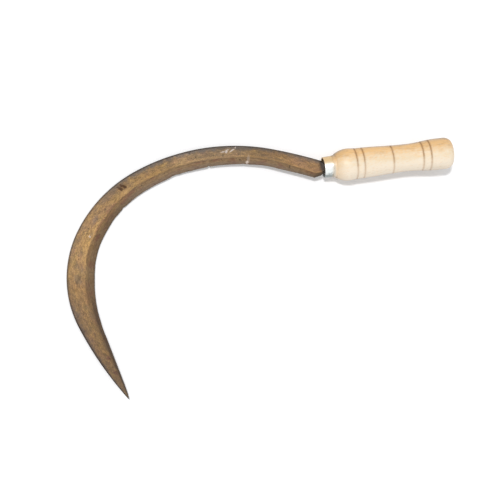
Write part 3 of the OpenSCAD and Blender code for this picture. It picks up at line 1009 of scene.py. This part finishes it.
# Changes along the blade: distances along the spine where each starts and ends
CHANGES = {
    "neck": (0.0005, 0.0055),
    "rosy": (0.020, 0.060),
    "olive": (0.030, 0.080),
    "spine_line": (0.060, 0.085),
    "rubbed": (0.100, 0.140),
    "bare_edge": (0.190, 0.300),
    "edge_line": (0.200, 0.360),
    "worn_ridge": (0.320, 0.360),
    "far": (0.330, 0.440),
    "late": (0.345, 0.385),
    "dark_point": (0.430, 0.475),
    "grey_point": (0.440, 0.470),
}


def steel_fields(w):
    """What the steel's colours follow: the blade's own coordinates, stretches of its length, and clouds.

    Along and across are distances from the neck and the spine. Part is the share of the width passed, and
    ground the share of the bevel passed, negative on the face. Drawn clouds are stretched along the blade.
    """
    along, across, part, ground, back = (
        w.attribute(name) for name in ("along", "across", "part", "ground", "back")
    )
    flow = w.joined(along, across, w.times(back, 0.2))
    drawn = w.vector("MULTIPLY", flow, (0.5, 1.0, 1.0))
    ragged = w.mottle(flow, 170.0, 5.0, 1.8)

    def near(name):
        return w.band(along, *STRETCHES[name])

    def past(name, start=0.0, stop=1.0):
        return w.soften(along, *CHANGES[name], start, stop)

    return SimpleNamespace(
        near=near,
        past=past,
        along=along,
        across=across,
        part=part,
        ground=ground,
        flow=flow,
        drawn=drawn,
        belly=near("belly"),
        late=past("late"),
        far=past("far"),
        ragged=ragged,
        ragged_part=w.total(part, w.times(ragged, 0.05)),
        clouds=w.mottle(drawn, 70.0, 6.0, 2.4),
        blotches=w.mottle(drawn, 300.0, 5.0, 2.8, 0.4),
        grain=w.mottle(flow, 950.0, 4.0, 1.8, 0.2),
        streaks=w.mottle(w.vector("MULTIPLY", flow, (0.30, 1.0, 1.0)), 820.0, 4.0, 3.2, 0.3),
    )


def patina(w, s, blade):
    """Colour of the face: gold on brown, then rosy and olive clouds, a rosy heel and grey patches.

    Last come the rubbed gold along the ridge, which is partly a painted highlight, the forge scale along
    the spine and a scuffed crown.
    """
    patches = w.total(w.times(s.clouds, 0.6), w.times(s.blotches, 0.6), w.times(s.grain, 1.2))
    golden = w.maths("SUBTRACT", patches, 0.68, clamp=True)
    rubbed = w.times(s.past("rubbed", 0.40, 0.2), w.grade(s.late, 1.0, 0.0))
    scaly = w.total(s.part, w.times(s.ragged, 0.30), -0.15)
    scale_share = w.total(w.grade(s.belly, 0.95, 0.15), w.times(s.near("scaled"), 0.25))
    return w.coats(
        w.mix(golden, blade.brown, blade.gold),
        (blade.rose, w.mottle(s.drawn, 120.0, 4.0, 4.0, 0.7), 0.35),
        (blade.olive, w.mottle(s.drawn, 170.0, 5.0, 3.0, 1.6), s.past("olive", 0.1, 0.32)),
        (blade.rose, s.past("rosy", 0.22, 0.0)),
        (blade.grey, w.soften(w.mottle(s.drawn, 150.0, 5.0, 3.0, 1.1), 0.55, 0.9), 0.22),
        # Rubbed steel along the ridge, partly a painted highlight
        (blade.gold, w.band(s.ground, -0.12, 0.08, 0.14), rubbed),
        (blade.grey, w.fade(scaly, 0.02, 0.30), scale_share),
        (blade.scratch, s.near("scuffed"), 0.07),
    )


def bevel_mask(w, s):
    """Where the bevel shows: it starts sharply at a wandering ridge, and gradually on the worn far part."""
    wander = w.total(w.times(s.near("narrow_bevel"), -0.18), w.times(s.near("wide_bevel"), 0.12))
    uneven = w.total(s.ground, w.times(s.ragged, 0.12))
    sharp = w.soften(w.total(uneven, wander), -0.02, 0.26)
    spread = w.soften(uneven, -0.45, 0.60)
    worn = s.past("worn_ridge")
    return w.total(w.times(sharp, w.grade(worn, 1.0, 0.0)), w.times(spread, worn))


def bevel_colour(w, s, blade):
    """Colour of the bevel: bare brown steel, rusty in clouds, golden by the belly and grey at the edge."""
    return w.coats(
        w.mix(w.total(w.times(s.blotches, 0.6), w.times(s.grain, 0.4)), blade.ground, blade.brown),
        (blade.rust, w.soften(w.mottle(s.drawn, 110.0, 5.0, 2.6, 0.5), 0.5, 0.8), 0.6),
        (blade.gold, s.near("golden"), w.fade(s.ground, 0.1, 0.6, 0.4)),
        (blade.grey, w.soften(s.ground, 0.3, 0.8), s.past("bare_edge", 0.55, 0.0)),
    )


def dark_lines(w, s):
    """Dark lines on the spine, the bevel's edge and the keen edge near the point, and painted shade on the
    neck.
    """
    spine_share = w.total(s.past("spine_line", 0.1, 0.7), w.times(s.late, 0.2))
    near_edge = w.soften(w.total(s.ground, w.times(s.ragged, 0.3)), 0.85, 1.25)
    return w.highest(
        w.times(w.fade(s.ragged_part, 0.04, 0.13), spine_share),
        w.times(near_edge, s.past("edge_line", 0.25, 0.6)),
        w.times(w.soften(s.ragged_part, 0.80, 0.92), s.late, 0.75),
        w.times(w.fade(s.across, 0.0008, 0.0022), s.near("dark_spine"), 0.95),
        w.times(w.fade(s.across, 0.0006, 0.0014), s.far, 0.9),
        # Painted shade on the neck where it enters the ferrule's mouth
        w.fade(w.total(s.along, w.times(s.across, 0.125)), 0.0006, 0.0026),
        # Painted shade below the neck's lower corner, by the mouth
        w.times(w.soften(s.across, 0.0140, 0.0170), s.past("neck", 0.7, 0.0)),
    )


def steel_tone(w, s, bevel):
    """How light the steel is along the face and the bevel, a little darker at the edge near the point."""
    face = w.total(
        0.81,
        w.times(s.near("dark_crown"), -0.17),
        w.times(s.near("dark_shoulder"), -0.06),
        w.times(s.near("bright"), 0.19),
        w.times(s.far, -0.22),
        s.past("dark_point", 0.0, -0.03),
    )
    stone = w.total(
        1.01,
        w.times(s.near("whetted"), w.soften(s.ground, 0.3, 0.9, 0.05, 0.14)),
        w.times(s.belly, -0.33),
        w.times(s.far, -0.30),
    )
    tone = w.total(w.times(face, w.grade(bevel, 1.0, 0.0)), w.times(stone, bevel))
    dim = w.times(w.soften(s.ragged_part, 0.55, 0.85), s.late)
    return w.times(tone, w.grade(dim, 1.0, 0.84))


def blade_marks(w, s, blade):
    """The marks of the table as coats: a colour, a ragged blot and a strength."""
    for run, down, half_run, half_down, slant, key, strength in MARKS:
        blot = w.effect(
            "Blot",
            point=s.flow,
            centre=(run, down, 0.0),
            half_size=(half_run, half_down, MARK_DEPTH),
            slant=slant,
            raggedness=MARK_RAGGEDNESS,
            grain=MARK_GRAIN,
        )
        yield getattr(blade, key), blot, strength


def forged_steel(blade):
    """Forged steel: a brown patina and a darker ground bevel, under marks, rust pits and a grey point."""
    material, w, shader = new_material("forged_steel")
    s = steel_fields(w)
    bevel = bevel_mask(w, s)
    # Painted shade: a dark band on the bevel just past the ridge
    ridge = w.band(s.ground, 0.07, 0.03, 0.16)
    pits = w.times(w.specks(s.flow, 360.0, 0.42), w.soften(w.mottle(s.flow, 60.0, 2.0, 2.0), 0.4, 0.8))
    skin = w.coats(
        patina(w, s, blade),
        (bevel_colour(w, s, blade), bevel, w.grade(s.late, 1.0, 0.55)),
        (blade.dark_scale_and_shade, ridge, w.grade(s.late, 0.3, 0.0), w.soften(s.blotches, 0.1, 0.6)),
        (blade.dark_scale_and_shade, dark_lines(w, s)),
        *blade_marks(w, s, blade),
        (blade.dark_scale_and_shade, pits, 0.6),
        (blade.rust, s.near("rusty"), 0.12),
        (blade.grey, s.past("grey_point", 0.0, 0.45)),
    )
    uneven = w.times(w.grade(s.streaks, 0.82, 1.20), w.grade(s.blotches, 0.93, 1.07))
    skin = w.brighten(skin, steel_tone(w, s, bevel), w.grade(s.grain, 0.78, 1.22), uneven)
    w.feed(shader.inputs["Base Color"], skin)
    w.feed(shader.inputs["Roughness"], w.total(0.40, w.times(s.clouds, 0.14), w.times(s.grain, 0.14)))
    w.feed(shader.inputs["Metallic"], w.soften(w.total(s.clouds, s.grain), 0.3, 1.5, 0.30, 0.65))
    strokes = w.mottle(w.vector("MULTIPLY", s.flow, (1.0, 0.06, 1.0)), 2600.0, 2.0, 1.6)
    height = w.total(
        w.times(s.blotches, 0.5), w.times(strokes, bevel, 0.25), w.times(pits, -0.9), w.times(s.grain, 0.4)
    )
    w.bump(shader, height, 0.8, 0.00016)
    return material


def painted_rim_shade(w, y, z, low, high, tone):
    """Painted shade for a turned piece: a tone, darker where its upper side curves down to the floor."""
    return w.soften(w.total(z, w.fade(y, 0.0, 0.006, 0.02)), low, high, tone, 1.0)


# Painted shade where the ferrule meets the collar: distances from the ferrule's mouth where it starts and
# is full
JOINT_SHADE = 0.0068, 0.0090


def zinc_steel(ferrule):
    """Zinc-plated steel: bright in the middle, with a painted warm reflection above and a painted dim one
    below.

    Painted shade darkens the joint before the collar, and the upper edge where the ring curves down.
    """
    material, w, shader = new_material("zinc_steel")
    place = w.attribute("place", "Vector")
    x, y, z = w.parts(place)
    cloud = w.mottle(place, 420.0, 4.0, 1.6)
    side = w.total(y, w.times(cloud, 0.0025), -0.00125)
    # Painted shade where the ferrule meets the wood, warm and darker
    joint_shade = w.times(w.soften(x, *JOINT_SHADE), w.soften(y, -0.002, 0.004, 1.0, 0.5))
    # Painted reflections: a warm tint on the upper side and dim grey low on the lower side
    skin = w.coats(
        w.mix(w.soften(side, -0.0005, 0.0062), ferrule.zinc, ferrule.reflected_tan),
        (ferrule.dull, w.fade(side, -0.0102, -0.0056)),
        (ferrule.reflected_tan, joint_shade, 0.35),
    )
    # Painted shade along the ferrule's upper edge
    rim_shade = painted_rim_shade(w, y, z, 0.002, 0.0055, 0.78)
    skin = w.brighten(skin, w.grade(cloud, 0.95, 1.03), w.grade(joint_shade, 1.0, 0.88), rim_shade)
    w.feed(shader.inputs["Base Color"], skin)
    shader.inputs["Metallic"].default_value = 1.0
    w.feed(shader.inputs["Roughness"], w.grade(cloud, 0.24, 0.42))
    drawn = w.mottle(w.vector("MULTIPLY", place, (1.0, 0.04, 0.04)), 5200.0, 2.0, 1.4)
    w.bump(shader, drawn, 0.35, 0.00004)
    return material


# Wood

# Place of the pith, the width of a growth ring, and how far the rings sway, in radians of their wave
PITH = (0.0, 0.034, -0.046)
RING_WIDTH, RING_SWAY = 0.0034, 9.0
# Stretches of the handle, as distances from the ferrule's mouth where each starts and ends; the first three
# carry painted shade: the collar's grey, the dome's front and the upper edge of the dome's front
COLLAR_SHADE_ENDS = 0.0100, 0.0118
SHADED_FRONT = 0.0130, 0.0240
BROW_SHADE = 0.018, 0.030
GRIP = 0.050, 0.110
BUTT = 0.085, 0.115
# Painted shade under the swell near the butt: distance of its middle, half length, and softness of its ends
SWELL = 0.118, 0.007, 0.006


def turned_wood(handle):
    """Pale turned hardwood: arcs of growth round a pith outside the piece, fibres, rays and burnt grooves.

    It is tan on the spine side. Painted light makes it paler towards the cutting edge, and painted shade
    makes it greyer low on its sides, darker at the dome's front and under the swell, and grey on the collar
    beside the ferrule. The tenon is burnt in by the tang and darkened further as painted shade in the
    mouth.
    """
    material, w, shader = new_material("turned_wood")
    place = w.attribute("place", "Vector")
    x, y, z = w.parts(place)

    def drawn(along, round_it=1.0):
        return w.vector("MULTIPLY", place, (along, round_it, round_it))

    sway = w.mottle(drawn(0.12), 55.0, 3.0, 1.0)
    flat = w.vector("MULTIPLY", w.vector("SUBTRACT", place, PITH), (0.0, 1.0, 1.0))
    turns = w.total(w.times(w.size(flat), 2 * pi / RING_WIDTH), w.times(sway, RING_SWAY))
    rings = w.soften(w.maths("SINE", turns), -1.0, 1.0)
    fibres = w.mottle(drawn(0.05), 1900.0, 3.0, 1.5)
    clouds = w.mottle(drawn(0.12), 90.0, 4.0, 2.2)
    rays = w.specks(drawn(0.35, 1.6), 620.0, 0.5)
    speckle = w.mottle(drawn(0.5), 520.0, 5.0, 3.0)
    flames = w.mottle(drawn(0.30), 300.0, 5.0, 3.5)

    parts = ((rings, 0.22), (fibres, 0.22), (clouds, 0.22), (speckle, 0.30))
    grain = w.total(*(w.times(*part) for part in parts))
    shift = w.soften(x, *GRIP, -0.0045, -0.0030)
    side = w.total(y, w.times(speckle, 0.005), w.times(clouds, 0.004), shift)
    upper = w.soften(side, -0.0015, 0.0135)
    # How low on its sides the wood is, for painted shade
    low = w.total(z, w.times(clouds, 0.004), w.soften(y, -0.004, 0.004, -0.002, -0.0045))
    scorch = w.times(w.attribute("burn"), w.grade(w.mottle(place, 260.0, 3.0, 1.6), 0.65, 1.0))
    skin = w.coats(
        w.mix(grain, handle.pale, handle.warm),
        (handle.tan, upper, 0.93),
        # Painted light: paler towards the cutting edge
        (handle.lit_side, w.fade(side, -0.009, 0.001, 0.75)),
        (handle.burnt, w.soften(flames, 0.45, 0.95), upper, 0.30),
        (handle.tan, rays, 0.30),
        # Painted shade: a tan tint over the dome's front by the collar
        (handle.tan, w.fade(x, *SHADED_FRONT, 0.30)),
        # Painted shade: grey on the collar's lower side beside the ferrule
        (handle.collar_shade, w.fade(x, *COLLAR_SHADE_ENDS, 0.55), w.fade(y, 0.0, 0.005)),
        # Painted shade low on the sides, where the wood turns away
        (handle.side_shade, w.fade(low, 0.0, 0.0075), w.soften(y, -0.004, 0.004, 0.55, 0.85)),
        (handle.burnt, scorch, w.soften(side, -0.012, 0.010, 0.40, 0.9)),
        # Burnt, and painted shade in the ferrule's mouth
        (handle.charred_and_shaded, w.attribute("char_and_shade")),
    )
    handled = w.grade(w.times(upper, w.soften(x, *BUTT)), 1.0, 0.93)
    # Painted shade along the upper edge of the dome's front
    brow_shade = w.times(w.soften(y, 0.005, 0.012), w.fade(x, *BROW_SHADE))
    # Painted shade along the handle's upper edge
    rim_shade = painted_rim_shade(w, y, z, 0.003, 0.013, 0.88)
    # Painted shade over the dome's front
    front_shade = w.times(w.soften(x, *SHADED_FRONT, 0.92, 1.0), w.grade(brow_shade, 1.0, 0.89), rim_shade)
    # Painted shade under the swell
    shade_under_swell = w.times(w.fade(y, -0.016, -0.009), w.band(x, *SWELL))
    skin = w.brighten(
        skin,
        w.soften(w.total(speckle, fibres), 0.3, 1.7, 0.955, 1.03),
        handled,
        front_shade,
        # Painted light: a little lighter towards the cutting edge
        w.soften(y, -0.009, 0.002, 1.03, 1.0),
        w.grade(shade_under_swell, 1.0, 0.92),
    )
    w.feed(shader.inputs["Base Color"], skin)
    w.feed(shader.inputs["Roughness"], w.soften(w.total(fibres, scorch), 0.0, 1.6, 0.36, 0.62))
    w.bump(shader, w.total(w.times(fibres, 0.6), w.times(rays, -0.5), w.times(rings, 0.3)), 0.4, 0.00006)
    return material


# The studio

# Width of the picture in pixels, and of the camera's sensor in millimetres
PICTURE_WIDTH, SENSOR = 500, 36.0
# Nearest and farthest that the camera sees, and the gap between the tool and the floor
NEAREST, FARTHEST = 0.05, 60.0
FLOOR_GAP = 0.00002
WHITE = (1.0, 1.0, 1.0, 1.0)


def make_floor(studio):
    """A wide, plain pale floor just under the tool."""
    half, level = studio.floor_size / 2, cad_box[0].z - FLOOR_GAP
    corners = [(-half, -half, level), (half, -half, level), (half, half, level), (-half, half, level)]
    mesh = bpy.data.meshes.new("floor")
    mesh.from_pydata(corners, [], [(0, 1, 2, 3)])
    material, w, shader = new_material("pale_floor")
    w.feed(shader.inputs["Base Color"], studio.floor)
    shader.inputs["Roughness"].default_value = 1.0
    shader.inputs["Specular IOR Level"].default_value = 0.0
    shader.inputs["Emission Color"].default_value = WHITE
    seen = w.add("ShaderNodeLightPath").outputs["Is Camera Ray"]
    w.feed(shader.inputs["Emission Strength"], w.times(seen, studio.floor_lift))
    mesh.materials.append(material)
    floor = bpy.data.objects.new("floor", mesh)
    bpy.context.scene.collection.objects.link(floor)


def make_sky(studio):
    """Even light from all round, which the camera and polished metal see as plain white."""
    world = bpy.data.worlds.new("soft_light")
    world.use_nodes = True
    w = Wiring(world.node_tree)
    rays = w.add("ShaderNodeLightPath").outputs
    seen = w.highest(rays["Is Camera Ray"], rays["Is Glossy Ray"], rays["Is Transmission Ray"])
    sky = world.node_tree.nodes["Background"]
    sky.inputs["Color"].default_value = WHITE
    w.feed(sky.inputs["Strength"], w.total(studio.sky, w.times(seen, 1 - studio.sky)))
    bpy.context.scene.world = world


def make_key(studio):
    """One soft lamp, high on the side of the spine and the point."""
    lamp = bpy.data.lights.new("key", "SUN")
    lamp.energy, lamp.angle = studio.key_strength, studio.key_angle
    flat = cos(studio.key_height)
    way = Vector((flat * cos(studio.key_heading), -flat * sin(studio.key_heading), -sin(studio.key_height)))
    key = bpy.data.objects.new("key", lamp)
    key.rotation_mode = "QUATERNION"
    key.rotation_quaternion = way.to_track_quat("-Z", "Y")
    bpy.context.scene.collection.objects.link(key)


def make_camera(studio, place):
    """The camera above the tool, leaning towards the blade, with the ferrule's mouth on its pixel."""
    turn, shift = place
    lean, roll = studio.lean, studio.roll
    view = np.array([sin(lean), 0.0, -cos(lean)])
    level, plumb = np.array([cos(lean), 0.0, sin(lean)]), np.array([0.0, 1.0, 0.0])
    right = level * cos(roll) - plumb * sin(roll)
    up = level * sin(roll) + plumb * cos(roll)
    focal = studio.lens / SENSOR * PICTURE_WIDTH
    off = (np.array(studio.mouth_px) - PICTURE_WIDTH / 2) / focal
    eye = -(view + off[0] * right - off[1] * up) * studio.distance
    camera = bpy.data.objects.new("camera", bpy.data.cameras.new("camera"))
    camera.data.lens, camera.data.sensor_width = studio.lens, SENSOR
    camera.data.clip_start, camera.data.clip_end = NEAREST, FARTHEST
    matrix = Matrix.Identity(4)
    for column, axis in enumerate((right, up, -view)):
        matrix.col[column].xyz = turn @ axis
    matrix.translation = turn @ eye + shift
    camera.matrix_world = matrix
    bpy.context.scene.collection.objects.link(camera)
    bpy.context.scene.camera = camera


# Operators and panel


def place_of(scene):
    """Turn and shift of the tool as it lies."""
    return lay_down(scene.sickle_blade, scene.sickle_handle, scene.sickle_ferrule)


class SICKLE_OT_set_studio(Operator):
    """Set the camera, the lamps and the floor"""

    bl_idname = "sickle.set_studio"
    bl_label = "Set Studio"

    def execute(self, context):
        studio = context.scene.sickle_studio
        make_floor(studio)
        make_sky(studio)
        make_key(studio)
        make_camera(studio, place_of(context.scene))
        context.scene.view_settings.view_transform = "Standard"
        return {"FINISHED"}


class SICKLE_OT_forge_blade(Operator):
    """Forge the blade with its neck and tang"""

    bl_idname = "sickle.forge_blade"
    bl_label = "Forge Blade"

    def execute(self, context):
        blade = context.scene.sickle_blade
        piece = make_blade(blade, place_of(context.scene), forged_steel(blade))
        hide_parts("blade")
        return {"FINISHED"}


class SICKLE_OT_roll_ferrule(Operator):
    """Roll the ferrule"""

    bl_idname = "sickle.roll_ferrule"
    bl_label = "Roll Ferrule"

    def execute(self, context):
        ferrule = context.scene.sickle_ferrule
        piece = make_ferrule(ferrule, place_of(context.scene), zinc_steel(ferrule))
        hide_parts("ferrule")
        return {"FINISHED"}


class SICKLE_OT_turn_handle(Operator):
    """Turn the handle and burn its grooves"""

    bl_idname = "sickle.turn_handle"
    bl_label = "Turn Handle"

    def execute(self, context):
        handle, ferrule = context.scene.sickle_handle, context.scene.sickle_ferrule
        piece = make_handle(handle, ferrule, place_of(context.scene), turned_wood(handle))
        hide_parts("handle")
        return {"FINISHED"}


OPERATORS = (SICKLE_OT_set_studio, SICKLE_OT_forge_blade, SICKLE_OT_roll_ferrule, SICKLE_OT_turn_handle)
SETTINGS = {
    "sickle_blade": SickleBlade,
    "sickle_ferrule": SickleFerrule,
    "sickle_handle": SickleHandle,
    "sickle_studio": SickleStudio,
}


class VIEW3D_PT_sickle(Panel):
    """The sickle's steps and settings"""

    bl_label = "Hand Sickle"
    bl_space_type = "VIEW_3D"
    bl_region_type = "UI"
    bl_category = "Sickle"

    def draw(self, context):
        for operator in OPERATORS:
            self.layout.operator(operator.bl_idname)
        for name, kind in SETTINGS.items():
            box = self.layout.box()
            box.label(text=name.replace("_", " ").capitalize())
            for key in kind.__annotations__:
                box.prop(getattr(context.scene, name), key)


CLASSES = (*SETTINGS.values(), *OPERATORS, VIEW3D_PT_sickle)


def register():
    for cls in CLASSES:
        bpy.utils.register_class(cls)
    for name, cls in SETTINGS.items():
        setattr(bpy.types.Scene, name, PointerProperty(type=cls))


def unregister():
    for name in SETTINGS:
        delattr(bpy.types.Scene, name)
    for cls in reversed(CLASSES):
        bpy.utils.unregister_class(cls)


def main():
    register()
    bpy.ops.sickle.set_studio()
    bpy.ops.sickle.forge_blade()
    bpy.ops.sickle.roll_ferrule()
    bpy.ops.sickle.turn_handle()


if __name__ == "__main__":
    main()
